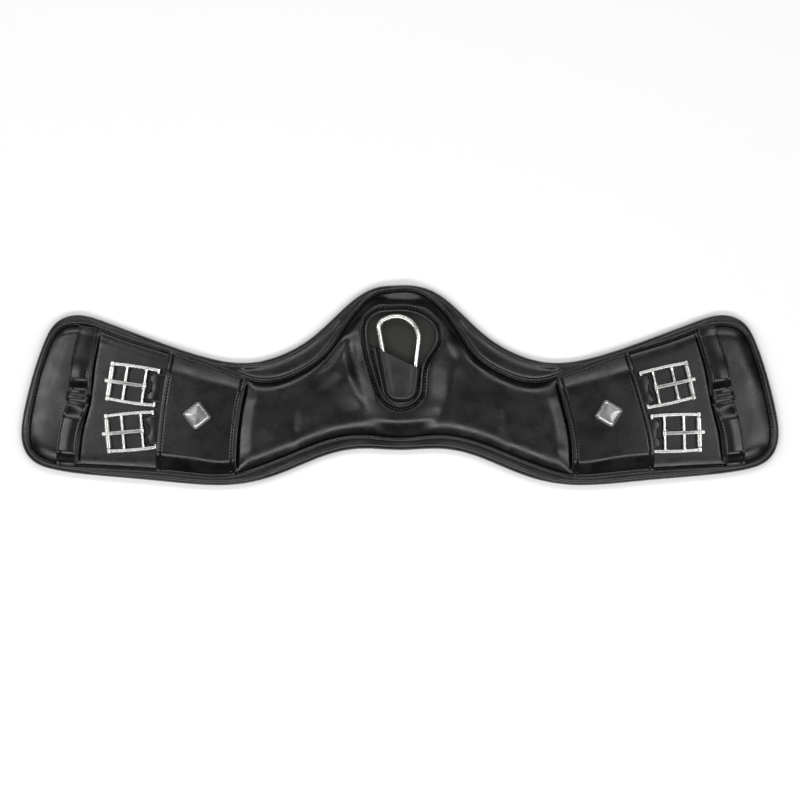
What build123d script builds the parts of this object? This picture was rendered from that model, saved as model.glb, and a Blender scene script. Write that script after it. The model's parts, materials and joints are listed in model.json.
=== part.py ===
from build123d import *
from math import cos, radians, sin
import os

# A short contoured girth, lying flat with its lining down and its outer face up, in millimetres.
# +X runs along its length, +Y towards the raised edge at its centre, and +Z away from the lining.
# The origin is on the underside, at the centre of the outline's box.

# Heights of the layers above the underside
LINING_TOP = 2.0
WEB_TOP = 3.2
FOAM_TOP = 8.0
RIM_TOP = 9.0
FACE_TOP = 11.0
LIP_TOP = 15.2
COVER_TOP = 17.4

# Half of the outer edge, from the middle of the top edge round the right end to the bottom
RIM_EDGE = [
    (0, 92.3), (14, 91.7), (27.6, 88.1), (55.2, 67.8), (82.8, 42.9), (110.4, 27.6), (145, 20.5),
    (179.4, 25.9), (234.6, 44.5), (276, 59.9), (301, 64.9), (317.4, 57.6), (327.5, 41.5),
    (340, 4.7), (348, -30), (348.8, -52), (340.5, -68.5), (317.8, -78.1), (276, -83.6),
    (220.8, -88.4), (165.6, -92.2), (138, -89.6), (110.4, -81.7), (82.8, -70.2),
    (55.2, -61), (32, -58.5), (0, -59.8),
]
# Half of the seam between the rim roll and the face panel
SEAM_EDGE = [
    (0, 88.5), (18.4, 86.4), (36.8, 73.7), (55.2, 48.9), (73.6, 25), (92, 13), (110.4, 5.7),
    (128.8, 4), (147.2, 9), (184, 22.5), (225.4, 35.1), (262.2, 47.1), (297, 57), (314.8, 52),
    (325.5, 33), (333.4, 9), (338.9, -15), (343.2, -42), (339.5, -61), (326, -70.5),
    (299, -75), (230, -79), (193.2, -82.7), (158, -84), (138, -79), (101.2, -65.2),
    (64.4, -51.4), (36, -47.3), (0, -50),
]
PIPING_WIDTH = 2.2

# The pad bends along two lines, one on each side of the centre
BEND_X = 98.0
BEND_GAP = 0.3

# Webbing inside the pad
WEB_LENGTH = 412
WEB_WIDTH = 44
WEB_Y = -24

# Pocket at the centre
POCKET_EDGE = [
    (-4.6, 68.4), (11, 67.6), (24, 62), (33, 52), (34, 41), (28.5, 30.5), (22.1, 19.5),
    (19.8, 4.7), (17, -11), (8, -18.3), (-4, -19.6), (-14, -13), (-22, 4), (-27.5, 23),
    (-31.2, 44), (-29, 60), (-18, 67.6),
]
LIP_WIDTH = 2.4
FLOOR_TOP = 9.6
PAD_STEPS = [(14, 13), (7, 15)]
FLAP_THICKNESS = 1.6
FLAP_MOUTH = [(-40, 43), (40, 5)]

# Spring hook: a pear-shaped ring of round wire, lying at a slight rise in the pocket
HOOK_RISE = 4
HOOK_Z = 14.1
HOOK_WIRE = 2.35
HOOK_CORNERS = [(21.3, 77.0), (-20.5, 57.2), (-8.3, -10.5), (10.8, -10.5)]
HOOK_RADII = [20.5, 8.2, 7.5, 7.5]
HOOK_START_Y = 39.8
GATE_NOSE_Y = 43.0
GATE_PIVOT_Y = 6.5
GATE_RADIUS = 2.15
PIN_RADIUS = 0.8
TETHER_WIDTH = 8
TETHER_THICKNESS = 0.9

# Cover panels: outer and inner edges, top to bottom
COVER_EDGES = {
    "left": (
        [(-209.5, 40), (-213, 17), (-219, -18), (-223, -58), (-224, -95)],
        [(-139, 20), (-145, -4), (-149.5, -32), (-152.3, -64), (-152.7, -95)],
    ),
    "right": (
        [(207.5, 40), (215, 12), (224, -18), (231, -48), (233, -95)],
        [(142, 20), (149, -6), (156, -34), (160, -60), (160.1, -95)],
    ),
}
BADGES = {"left": (-186.3, -28.0, 38), "right": (191.4, -25.9, 59)}
BADGE_SIDE = 20
BADGE_THICKNESS = 1.8

# Billet keepers on the right end: start and end of each strap, mirrored for the left end
KEEPER_WIDTH = 16.5
KEEPER_THICKNESS = 1.8
KEEPER_GAP = 5.5
KEEPER_FOOT = 8
KEEPER_UPPER = [(283.5, 52), (297, -14.5)]
KEEPER_LOWER = [(297.1, -15.2), (308.5, -73)]
TAB_SIZE = (20, 7.8, 1.6)

# Buckles: place of the roller axle and outward direction in degrees
BUCKLES = {
    "upper_left": (-266.3, 3.8, 171.5),
    "lower_left": (-268.6, -44.5, 184.9),
    "upper_right": (266.3, 4.7, 12.6),
    "lower_right": (274.9, -43.1, 2.0),
}
BUCKLE_Z = 14.2
ROLLER_U = 43.2
CROSS_U = 29.2
TONGUE_U = 11.4
RAIL_V = 16.1
RAIL_SECTION = (3.6, 3.3)
RAIL_BOW = 0.7
BAR_RADIUS = 1.6
CROSS_RADIUS = 1.7
AXLE_RADIUS = 1.5
ROLLER_RADIUS = 2.75
RUNNING_FIT = 0.06
HUB_WIDTH = 3.7
COLLAR_RADIUS = 2.7
TONGUE_WIDTH = 3.4
ELASTIC_WIDTH = 27.4
ELASTIC_THICKNESS = 2.8
ELASTIC_ROOT = 30
ELASTIC_FOLD = 2.9
CLEARANCE = 0.4


def closed_curve(points):
    return Spline(*points, periodic=True)


def both_halves(right):
    """The closed curve through the points of a right half and their mirror images."""
    return closed_curve(right + [(-x, y) for x, y in right[-2:0:-1]])


def grown(edge, outward, count):
    """The face inside a closed curve, with its outline moved outward by a distance."""
    away = outward * (-1 if Face(Wire([edge])).normal_at().Z > 0 else 1)
    steps = [i / count for i in range(count)]
    points = [edge @ t + Vector(0, 0, 1).cross(edge % t) * away for t in steps]
    return Face(Wire([closed_curve(points)]))


def slab(face, low, high):
    return Pos(0, 0, low) * extrude(face, amount=high - low, dir=(0, 0, 1))


def save(shape, name):
    export_step(shape, f"parts/{name}.step")


def save_sections(shape, name):
    """Cut a full-length layer at the two bending lines."""
    inner = BEND_X - BEND_GAP / 2
    outer = BEND_X + BEND_GAP / 2
    reach = 300
    save(shape & Box(2 * inner, 400, 100), f"{name}_centre")
    for side, sign in (("left", -1), ("right", 1)):
        save(shape & Pos(sign * (outer + reach / 2), 0, 0) * Box(reach, 400, 100), f"{name}_{side}")


# Layers of the pad
seam_edge = both_halves(SEAM_EDGE)
rim_face = Face(Wire([both_halves(RIM_EDGE)]))
seam_face = Face(Wire([seam_edge]))
piping_face = grown(seam_edge, PIPING_WIDTH, 140)
pocket_edge = closed_curve(POCKET_EDGE)


def pocket_face(outward):
    return grown(pocket_edge, outward, 40)


pocket_hole = pocket_face(LIP_WIDTH / 2)
web = Pos(0, WEB_Y, (LINING_TOP + WEB_TOP) / 2) * Box(WEB_LENGTH, WEB_WIDTH, WEB_TOP - LINING_TOP)

save_sections(slab(rim_face, 0, LINING_TOP), "lining")
save_sections(slab(rim_face, LINING_TOP, RIM_TOP) - slab(seam_face, LINING_TOP, RIM_TOP), "rim")
save_sections(slab(seam_face, LINING_TOP, FOAM_TOP) - web, "foam")
save_sections(web, "load_web")
save_sections(slab(seam_face, FOAM_TOP, FACE_TOP) - slab(pocket_hole, FOAM_TOP, FACE_TOP), "face")
save_sections(slab(piping_face, RIM_TOP, FACE_TOP) - slab(seam_face, RIM_TOP, FACE_TOP), "piping")

# Pocket
pad = Part()
for outward, top in PAD_STEPS:
    pad += slab(pocket_face(outward), FACE_TOP, top)
save(pad - slab(pocket_hole, FACE_TOP, LIP_TOP), "centre_pad")
pocket_inside = pocket_face(-LIP_WIDTH / 2)
save(slab(pocket_hole, FOAM_TOP, FLOOR_TOP), "pocket_floor")
save(slab(pocket_hole, FLOOR_TOP, LIP_TOP) - slab(pocket_inside, FLOOR_TOP, LIP_TOP), "pocket_lip")

# Spring hook, drawn in its own plane
hook_normal = (0, -sin(radians(HOOK_RISE)), cos(radians(HOOK_RISE)))
hook_plane = Plane(origin=(0, 0, HOOK_Z), x_dir=(1, 0, 0), z_dir=hook_normal)
top_right, top_left, bottom_left, bottom_right = [Vector(*point) for point in HOOK_CORNERS]
gate_line = (top_right - bottom_right).normalized()


def on_gate_line(y):
    return bottom_right + gate_line * ((y - bottom_right.Y) / gate_line.Y)


nose = on_gate_line(GATE_NOSE_Y)
pivot = on_gate_line(GATE_PIVOT_Y)
shoulder = on_gate_line(GATE_PIVOT_Y - 2.4)
gate_reach = (nose - pivot).length
hook_path = FilletPolyline(
    on_gate_line(HOOK_START_Y), top_right, top_left, bottom_left, bottom_right, shoulder,
    radius=HOOK_RADII,
)


def hook_wire(radius):
    return sweep(Plane(origin=hook_path @ 0, z_dir=hook_path % 0) * Circle(radius), hook_path)


gate_plane = Plane(origin=pivot, x_dir=gate_line, z_dir=(0, 0, 1))
tang = Pos(-1.2, 0, 0) * Box(3.4, 3.2, 1.6) + Cylinder(1.6, 1.6)
hook_body = hook_wire(HOOK_WIRE) + gate_plane * tang - gate_plane * Cylinder(PIN_RADIUS, 6)
hook_body -= gate_plane * Pos(gate_reach / 2 + 5, 0, 0) * Box(gate_reach - 10, 8, 8)
save(hook_plane * hook_body, "hook_body")
save(hook_plane * gate_plane * Cylinder(PIN_RADIUS, 2 * GATE_RADIUS), "gate_pin")

gate_length = gate_reach - 0.3
along = Rot(0, 90, 0)
gate = Pos(gate_length / 2, 0, 0) * along * Cylinder(GATE_RADIUS, gate_length)
gate += Cylinder(GATE_RADIUS, 2 * GATE_RADIUS) & along * Cylinder(GATE_RADIUS, 2 * GATE_RADIUS)
gate -= Box(5.4, 6, 1.9)
gate -= Cylinder(PIN_RADIUS + RUNNING_FIT, 6)
gate -= Pos(2.6 + 5, 0, 0) * along * Cylinder(1.1, 10)
save(hook_plane * gate_plane * gate, "hook_gate")
coil = Helix(pitch=1.1, height=8.8, radius=0.75)
spring = sweep(Plane(origin=coil @ 0, z_dir=coil % 0) * Circle(0.2), coil)
save(hook_plane * gate_plane * Pos(3, 0, 0) * along * spring, "gate_spring")

tether = Pos(1.2, -12.2, 0) * Box(TETHER_WIDTH, 10.6, 2 * (HOOK_WIRE + TETHER_THICKNESS))
save(hook_plane * (tether - hook_wire(HOOK_WIRE + 0.05)), "hook_tether")

# Flap: a hood over the lower half of the hook, open along its slanted mouth
hood_under = HOOK_WIRE + 1.3
cavity_path = FilletPolyline(
    bottom_left + (top_left - bottom_left).normalized() * 90,
    bottom_left,
    bottom_right,
    bottom_right + gate_line * 90,
    radius=HOOK_RADII[2:],
)
cavity_edge = offset(make_face(cavity_path + Line(cavity_path @ 1, cavity_path @ 0)), HOOK_WIRE + 0.7)
tether_room = Pos(1.2, -12.3, 0) * Rectangle(TETHER_WIDTH + 0.8, 12)
cavity = extrude(cavity_edge + tether_room, amount=hood_under, both=True)
under_mouth = make_face(Polyline(*FLAP_MOUTH, (40, -40), (-40, -40), close=True))
hood = extrude(under_mouth, amount=hood_under + FLAP_THICKNESS, both=True)
well = slab(pocket_face(-LIP_WIDTH / 2 - 0.2), FLOOR_TOP, FLOOR_TOP + 20)
save((hook_plane * (hood - cavity)) & well, "pocket_flap")


# Ends: elastics and buckles, each drawn outward along +X from its end bar
def bar(u, radius, width):
    return Pos(u, 0, 0) * Rot(90, 0, 0) * Cylinder(radius, width)


def make_frame():
    frame = bar(0, BAR_RADIUS, 2 * RAIL_V) + bar(ROLLER_U, AXLE_RADIUS, 2 * RAIL_V)
    frame += bar(TONGUE_U, BAR_RADIUS, 2 * RAIL_V) + bar(CROSS_U, CROSS_RADIUS, 2 * RAIL_V)
    for side in (-1, 1):
        middle = (ROLLER_U / 2, side * (RAIL_V + RAIL_BOW))
        rail = ThreePointArc((0, side * RAIL_V), middle, (ROLLER_U, side * RAIL_V))
        start = Plane(origin=rail @ 0, x_dir=(0, 0, 1), z_dir=rail % 0)
        frame += sweep(start * RectangleRounded(RAIL_SECTION[1], RAIL_SECTION[0], 1.2), rail)
        boss = Rot(90, 0, 0) * Cylinder(2.6, 4.4)
        frame += Pos(ROLLER_U, side * RAIL_V, 0) * fillet(boss.edges(), 0.8)
        heel = Rot(90, 0, 0) * Cylinder(RAIL_SECTION[1] / 2 + 0.1, RAIL_SECTION[0])
        frame += Pos(0, side * RAIL_V, 0) * fillet(heel.edges(), 0.7)
        turned = Rot(-90 * side, 0, 0)
        for u, radius in ((CROSS_U, CROSS_RADIUS), (TONGUE_U, BAR_RADIUS)):
            frame += Pos(u, side * (RAIL_V - 3), 0) * turned * Cone(radius, radius + 0.9, 3)
        collar = Cylinder(COLLAR_RADIUS, 1.1)
        frame += Pos(TONGUE_U, side * (HUB_WIDTH / 2 + 0.7), 0) * turned * fillet(collar.edges(), 0.3)
        shank = Cone(COLLAR_RADIUS - 0.4, BAR_RADIUS, 2.2)
        frame += Pos(TONGUE_U, side * (HUB_WIDTH / 2 + 2.3), 0) * turned * shank
    return frame


def make_roller():
    tube = Cylinder(ROLLER_RADIUS, 2 * (RAIL_V - 2.5))
    tube = fillet(tube.edges(), 0.5) - Cylinder(AXLE_RADIUS + RUNNING_FIT, 40)
    return Pos(ROLLER_U, 0, 0) * Rot(90, 0, 0) * tube


def make_tongue():
    lower = ThreePointArc((0, 0, -0.1), (18, 0, 2.25), (36, 0, 2.95))
    upper = ThreePointArc((36, 0, 5.4), (18, 0, 4.85), (0, 0, 2.5))
    tip = Line(lower @ 1, upper @ 0)
    heel = Line(upper @ 1, lower @ 0)
    side = Face(Wire([lower, tip, upper, heel]))
    blade = extrude(side, amount=TONGUE_WIDTH / 2, dir=(0, 1, 0), both=True)
    blade = fillet(blade.edges().filter_by(GeomType.CIRCLE), 0.7)
    hub = Rot(90, 0, 0) * Cylinder(ROLLER_RADIUS, HUB_WIDTH)
    tongue = blade + fillet(hub.edges(), 0.5)
    return Pos(TONGUE_U, 0, 0) * (tongue - Rot(90, 0, 0) * Cylinder(BAR_RADIUS + RUNNING_FIT, 10))


def make_elastic():
    strap = Pos(-ELASTIC_ROOT / 2, 0, 0) * Box(ELASTIC_ROOT, ELASTIC_WIDTH, ELASTIC_THICKNESS)
    return strap + bar(0, ELASTIC_FOLD, ELASTIC_WIDTH) - bar(0, BAR_RADIUS + RUNNING_FIT, 40)


def make_channel():
    """Room in a cover panel for one elastic, its fold and the ends of the buckle's rails."""
    length = ELASTIC_ROOT + CLEARANCE
    tunnel = Box(length, ELASTIC_WIDTH + 2 * CLEARANCE, ELASTIC_THICKNESS + 2 * CLEARANCE)
    notch_start = ELASTIC_FOLD + CLEARANCE
    notch = Pos(20 - notch_start, 0, 0) * Box(40, 2 * (RAIL_V + 2.4), 12)
    return Pos(-length / 2, 0, 0) * tunnel + notch


places = {}
for name, (x, y, angle) in BUCKLES.items():
    outward = Vector(cos(radians(angle)), sin(radians(angle)), 0)
    places[name] = Location(Vector(x, y, BUCKLE_Z) - outward * ROLLER_U, (0, 0, angle))
    save(places[name] * make_elastic(), f"elastic_{name}")
    save(places[name] * make_frame(), f"buckle_frame_{name}")
    save(places[name] * make_roller(), f"buckle_roller_{name}")
    save(places[name] * make_tongue(), f"buckle_tongue_{name}")

# Cover panels and badges
for side, (outer, inner) in COVER_EDGES.items():
    edges = [Spline(*outer), Line(outer[-1], inner[-1]), Spline(*inner[::-1]), Line(inner[0], outer[0])]
    panel = slab(Face(Wire(edges)), FACE_TOP, COVER_TOP) & slab(seam_face, FACE_TOP, COVER_TOP)
    for name, place in places.items():
        if name.endswith(side):
            panel -= place * make_channel()
    save(panel, f"cover_panel_{side}")
    x, y, angle = BADGES[side]
    badge = extrude(RectangleRounded(BADGE_SIDE, BADGE_SIDE, 3), amount=BADGE_THICKNESS)
    badge = chamfer(badge.faces().sort_by(Axis.Z)[-1].edges(), 0.7)
    save(Pos(x, y, COVER_TOP) * Rot(0, 0, angle) * badge, f"badge_{side}")


# Billet keepers
def make_keeper(start, end, fall):
    """A strap standing off the face between its two feet, from start to end."""
    along = Vector(*end) - Vector(*start)
    length = along.length
    low, high = FACE_TOP, FACE_TOP + KEEPER_GAP
    rise = 6
    inner = [
        (0, low), (KEEPER_FOOT, low), (KEEPER_FOOT + rise, high),
        (length - KEEPER_FOOT - fall, high), (length - KEEPER_FOOT, low), (length, low),
    ]
    outer = [(s, z + KEEPER_THICKNESS) for s, z in inner]
    outline = make_face(Polyline(*inner, *outer[::-1], close=True))
    plane = Plane(origin=(*start, 0), x_dir=along, z_dir=along.cross(Vector(0, 0, 1)))
    return extrude(plane * outline, amount=KEEPER_WIDTH / 2, both=True)


def make_tab():
    end = Vector(*KEEPER_UPPER[1])
    along = (end - Vector(*KEEPER_UPPER[0])).normalized()
    centre = end - along * TAB_SIZE[1] / 2
    low = FACE_TOP + KEEPER_THICKNESS + TAB_SIZE[2] / 2
    turn = Vector(0, -1, 0).get_signed_angle(along, Vector(0, 0, 1))
    return Pos(centre.X, centre.Y, low) * Rot(0, 0, turn) * Box(*TAB_SIZE)


end_pieces = {
    "keeper_upper": make_keeper(*KEEPER_UPPER, fall=14),
    "keeper_lower": make_keeper(*KEEPER_LOWER, fall=6),
    "keeper_tab": make_tab(),
}
for name, piece in end_pieces.items():
    save(piece, f"{name}_right")
    save(mirror(piece, Plane.YZ), f"{name}_left")
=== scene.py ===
import collections
import json
import math

import bpy
import numpy as np
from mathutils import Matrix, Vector, noise
from mathutils.geometry import delaunay_2d_cdt
from mathutils.kdtree import KDTree


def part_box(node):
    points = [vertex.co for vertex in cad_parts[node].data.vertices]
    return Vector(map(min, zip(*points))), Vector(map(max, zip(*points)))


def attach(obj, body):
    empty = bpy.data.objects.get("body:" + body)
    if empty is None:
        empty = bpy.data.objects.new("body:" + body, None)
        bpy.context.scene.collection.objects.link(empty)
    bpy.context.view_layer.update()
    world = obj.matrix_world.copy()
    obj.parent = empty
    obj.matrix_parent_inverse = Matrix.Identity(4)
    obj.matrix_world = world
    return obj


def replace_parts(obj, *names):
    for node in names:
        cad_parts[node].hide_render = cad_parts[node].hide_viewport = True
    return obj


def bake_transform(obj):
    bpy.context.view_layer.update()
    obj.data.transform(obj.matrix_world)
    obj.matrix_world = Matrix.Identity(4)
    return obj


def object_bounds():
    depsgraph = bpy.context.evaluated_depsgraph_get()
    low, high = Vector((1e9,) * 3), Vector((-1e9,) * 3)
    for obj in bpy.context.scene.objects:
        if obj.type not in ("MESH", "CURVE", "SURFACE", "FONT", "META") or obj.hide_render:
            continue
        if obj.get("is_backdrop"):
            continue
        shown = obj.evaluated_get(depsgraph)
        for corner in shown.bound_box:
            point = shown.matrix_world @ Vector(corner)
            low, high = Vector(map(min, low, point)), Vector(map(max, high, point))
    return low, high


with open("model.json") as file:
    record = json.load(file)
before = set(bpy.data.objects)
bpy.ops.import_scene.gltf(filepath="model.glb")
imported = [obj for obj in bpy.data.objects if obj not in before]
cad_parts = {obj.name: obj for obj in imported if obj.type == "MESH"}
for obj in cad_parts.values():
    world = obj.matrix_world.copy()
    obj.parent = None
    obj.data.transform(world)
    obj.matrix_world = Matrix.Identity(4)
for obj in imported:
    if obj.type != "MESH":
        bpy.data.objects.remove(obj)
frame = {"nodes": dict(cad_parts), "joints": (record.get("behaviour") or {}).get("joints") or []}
cad_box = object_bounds()

MM = 0.001
JOINTS = {j["name"]: j for j in frame["joints"]}
BEND_X = JOINTS["right_bend"]["pos_m"][0]
SIDES = {"left": -1, "right": 1}
BUCKLES = ["upper_left", "lower_left", "upper_right", "lower_right"]


# -------- outlines read from the frame

LEVEL_TOLERANCE = 0.01 * MM
CUT_TOLERANCE = 0.3 * MM
MEASURE_STEP = 0.4 * MM  # spacing of the points that distances to an outline are measured to


def plan_outline(nodes, z):
    """The outline, seen from above, of the flat faces at one height of nodes that lie end to end."""
    uses = collections.Counter()
    for node in nodes:
        mesh = frame["nodes"][node].data
        for polygon in mesh.polygons:
            corners = [mesh.vertices[i].co for i in polygon.vertices]
            if all(abs(c.z - z) < LEVEL_TOLERANCE for c in corners):
                keys = [(round(c.x, 6), round(c.y, 6)) for c in corners]
                uses.update(frozenset(pair) for pair in zip(keys, keys[1:] + keys[:1]))
    links = collections.defaultdict(list)
    for edge, count in uses.items():
        on_cut = all(abs(abs(x) - BEND_X) < CUT_TOLERANCE for x, _ in edge)
        if count == 1 and len(edge) == 2 and not (on_cut and len(nodes) > 1):
            a, b = edge
            links[a].append(b)
            links[b].append(a)
    here = next(iter(links))
    left, chain = set(links) - {here}, [here]
    while left:
        near = [p for p in links[here] if p in left]
        here = near[0] if near else min(left, key=lambda p: math.dist(p, here))
        left.remove(here)
        chain.append(here)
    return np.array(chain)


def lengths(line):
    """How far along a line each of its points is."""
    return np.concatenate([[0], np.cumsum(np.linalg.norm(np.diff(line, axis=0), axis=1))])


def unit(vectors):
    """Rows of vectors, each made 1 long."""
    return vectors / np.linalg.norm(vectors, axis=1)[:, None]


def at_height(plan, z):
    """Plan points at one height."""
    return np.column_stack([plan, np.full(len(plan), z)])


def evenly(points, step):
    """Points at even steps round a closed line."""
    closed = np.vstack([points, points[:1]])
    along = lengths(closed)
    places = np.arange(round(along[-1] / step)) / round(along[-1] / step) * along[-1]
    return np.stack([np.interp(places, along, closed[:, k]) for k in range(points.shape[1])], 1)


def blurred(values, samples):
    """Values round a closed line, smoothed over a number of samples."""
    frequency = np.fft.fftfreq(len(values))
    gain = np.exp(-2 * (np.pi * frequency * samples) ** 2).reshape(-1, *[1] * (values.ndim - 1))
    return np.real(np.fft.ifft(np.fft.fft(values, axis=0) * gain, axis=0))


def smooth_loop(points, step=1 * MM, blur=3 * MM):
    """A closed outline sampled evenly and counter-clockwise, with its small corners rounded."""
    x, y = points.T
    if np.sum(x * np.roll(y, -1) - np.roll(x, -1) * y) < 0:
        points = points[::-1]
    return evenly(blurred(evenly(points, step), blur / step), step)


def outward(loop):
    """Unit normals that point out of a counter-clockwise outline."""
    along = unit(np.roll(loop, -1, 0) - np.roll(loop, 1, 0))
    return np.stack([along[:, 1], -along[:, 0]], 1)


def offset(loop, shift):
    """An outline moved outwards, or inwards by a negative shift."""
    return loop + outward(loop) * shift


def inside(points, loop):
    """Which points lie inside an outline."""
    found = np.zeros(len(points), bool)
    for a, b in zip(loop, np.roll(loop, -1, 0)):
        crosses = (a[1] > points[:, 1]) != (b[1] > points[:, 1])
        if a[1] != b[1]:
            x = a[0] + (points[:, 1] - a[1]) / (b[1] - a[1]) * (b[0] - a[0])
            found ^= crosses & (points[:, 0] < x)
    return found


def nearest(points, targets):
    """How far each point is, in plan, from the nearest target point."""
    tree = KDTree(len(targets))
    for i, (x, y) in enumerate(targets):
        tree.insert((x, y, 0), i)
    tree.balance()
    return np.array([tree.find((x, y, 0))[2] for x, y in points[:, :2]])


def distance(points, loop):
    """How far each point is from an outline."""
    return nearest(points, evenly(loop, MEASURE_STEP))


SECTIONS = ("left", "centre", "right")
lining_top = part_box("lining_centre")[1].z
rim = smooth_loop(plan_outline([f"lining_{s}" for s in SECTIONS], lining_top))
seam = smooth_loop(plan_outline([f"foam_{s}" for s in SECTIONS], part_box("foam_centre")[1].z))
pocket = smooth_loop(plan_outline(["pocket_floor"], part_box("pocket_floor")[1].z), 0.5 * MM, 1.5 * MM)
lip_line = offset(pocket, -1.2 * MM)


# -------- materials

def connect(tree, made, inputs):
    """Links each named input of a node to a socket, or sets it to a value."""
    for name, value in inputs.items():
        if isinstance(value, bpy.types.NodeSocket):
            tree.links.new(value, made.inputs[name])
        else:
            made.inputs[name].default_value = value


def node(tree, kind, inputs=(), **settings):
    """A new shader node with its settings and its inputs."""
    made = tree.nodes.new(kind)
    for key, value in settings.items():
        setattr(made, key, value)
    connect(tree, made, dict(inputs))
    return made


def new_material(name, **values):
    """A material with some of its shader's values set, and its tree, shader and coordinates."""
    material = bpy.data.materials.new(name)
    material.use_nodes = True
    tree = material.node_tree
    principled = tree.nodes["Principled BSDF"]
    connect(tree, principled, values)
    place = node(tree, "ShaderNodeTexCoord").outputs["Object"]
    return material, tree, principled, place


def ramp(tree, value, low, high, start=0.35, stop=0.65):
    """A value that goes from low to high while the input goes from start to stop."""
    made = node(tree, "ShaderNodeMapRange", {
        "Value": value, "From Min": start, "From Max": stop, "To Min": low, "To Max": high})
    return made.outputs["Result"]


def mixed_colour(tree, share, dark, light):
    """A colour between dark, at a share of 0, and light, at 1."""
    made = node(tree, "ShaderNodeMix", data_type="RGBA")
    connect(tree, made, {"Factor": share, "A": (*dark, 1), "B": (*light, 1)})
    return made.outputs["Result"]


def noise_field(tree, place, scale, detail, **more):
    """A noise pattern over the piece, with scale in waves to the metre."""
    made = node(tree, "ShaderNodeTexNoise", {"Vector": place, "Scale": scale, "Detail": detail, **more})
    return made.outputs["Fac"]


def leather(name, dark, light, rough, pore=0.9 * MM, depth=0.05 * MM, specular=0.5):
    """Leather with pores, fine creases, uneven polish and a faint change of shade."""
    material, tree, principled, place = new_material(name, **{"Specular IOR Level": specular})
    clouds = noise_field(tree, place, 28.0, 4.0)
    shade = mixed_colour(tree, ramp(tree, clouds, 0, 1), dark, light)
    polish = ramp(tree, noise_field(tree, place, 60.0, 6.0), rough - 0.05, rough + 0.06)
    pores = node(tree, "ShaderNodeTexVoronoi", {"Vector": place, "Scale": 1 / pore}, feature="F1")
    fine = node(tree, "ShaderNodeBump",
                {"Height": pores.outputs["Distance"], "Strength": 0.5, "Distance": depth})
    creases = noise_field(tree, place, 0.33 / pore, 6.0, Distortion=0.8)
    where = ramp(tree, clouds, 0.15, 1, 0.42, 0.62)
    folds = node(tree, "ShaderNodeMath", {0: creases, 1: where}, operation="MULTIPLY")
    bump = node(tree, "ShaderNodeBump", {"Height": folds.outputs[0], "Strength": 0.6, "Distance": 2.5 * depth,
                                         "Normal": fine.outputs["Normal"]})
    connect(tree, principled, {"Base Color": shade, "Roughness": polish, "Normal": bump.outputs["Normal"]})
    return material


def steel(name, colour, rough, scratch):
    """Polished metal with fine scratches and a slightly uneven polish."""
    material, tree, principled, place = new_material(name, Metallic=1.0)
    smudge = noise_field(tree, place, 110.0, 4.0)
    polish = ramp(tree, smudge, rough - 0.03, rough + 0.05)
    dim = tuple(0.9 * c for c in colour)
    shade = mixed_colour(tree, ramp(tree, smudge, 0, 1), dim, colour)
    stretched = node(tree, "ShaderNodeMapping", {"Vector": place, "Scale": (260.0, 1500.0, 260.0)})
    lines = noise_field(tree, stretched.outputs["Vector"], 1.0, 3.0)
    bump = node(tree, "ShaderNodeBump", {"Height": lines, "Strength": scratch, "Distance": 0.03 * MM})
    connect(tree, principled, {"Base Color": shade, "Roughness": polish, "Normal": bump.outputs["Normal"]})
    return material


def woven(name, dark, light, rough, pitch):
    """Ribbed cloth: fine crossing threads with a soft sheen."""
    values = {"Roughness": rough, "Specular IOR Level": 0.2}
    material, tree, principled, place = new_material(name, **values)
    heights = []
    for direction in ("X", "Y"):
        wave = node(tree, "ShaderNodeTexWave", {"Vector": place, "Scale": 0.3 / pitch, "Distortion": 0.6},
                    bands_direction=direction)
        heights.append(wave.outputs["Fac"])
    weave = node(tree, "ShaderNodeMath", {0: heights[0], 1: heights[1]}, operation="MULTIPLY").outputs[0]
    shade = mixed_colour(tree, ramp(tree, weave, 0, 1, 0.1, 0.8), dark, light)
    bump = node(tree, "ShaderNodeBump", {"Height": weave, "Strength": 0.6, "Distance": 0.1 * MM})
    connect(tree, principled, {"Base Color": shade, "Normal": bump.outputs["Normal"]})
    return material


BLACK = (0.0012, 0.0012, 0.0014)
SOFT_BLACK = (0.003, 0.003, 0.0033)
face_leather = leather("face_leather", BLACK, SOFT_BLACK, 0.28, depth=0.035 * MM)
strap_leather = leather("strap_leather", BLACK, SOFT_BLACK, 0.27, pore=0.7 * MM, depth=0.02 * MM)
lining_leather = leather("lining_leather", (0.0018, 0.0018, 0.002), (0.004, 0.004, 0.0042), 0.3,
                         pore=1.1 * MM, depth=0.03 * MM)
lip_leather = leather("lip_leather", (0.012, 0.012, 0.0125), (0.03, 0.03, 0.03), 0.3,
                      pore=0.7 * MM, depth=0.01 * MM)
flap_leather = leather("flap_leather", (0.012, 0.012, 0.0125), (0.019, 0.019, 0.0195), 0.36,
                       pore=0.6 * MM, depth=0.012 * MM)
nubuck = leather("nubuck", (0.024, 0.0235, 0.022), (0.04, 0.039, 0.036), 0.8, pore=0.5 * MM, specular=0.2)
# Black thread, made darker still than the black leather: partly the thread's own colour, partly painted shade
# for the grooves that the stitches lie in.
thread = woven("thread", (0.0006, 0.0006, 0.0006), (0.003, 0.003, 0.003), 0.6, 0.4 * MM)
buckle_steel = steel("buckle_steel", (0.64, 0.63, 0.615), 0.27, 0.03)
hook_steel = steel("hook_steel", (0.86, 0.85, 0.83), 0.27, 0.02)
badge_metal = steel("badge_metal", (0.42, 0.42, 0.425), 0.28, 0.12)
rim_metal = steel("badge_rim_metal", (0.16, 0.16, 0.165), 0.3, 0.1)


# -------- mesh helpers

ROW_SPACING = 0.87  # of a triangular grid's rows, as a share of its step
EDGE_SPACING = 0.8  # of the points along edges, as a share of the grid's step
LINE_ROWS = 3  # rows of points on each side of a line, 1 mm apart
LINE_CLEARANCE = 3.6 * MM


def new_object(name, data):
    """An object that is linked into the scene."""
    made = bpy.data.objects.new(name, data)
    bpy.context.scene.collection.objects.link(made)
    return made


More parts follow.
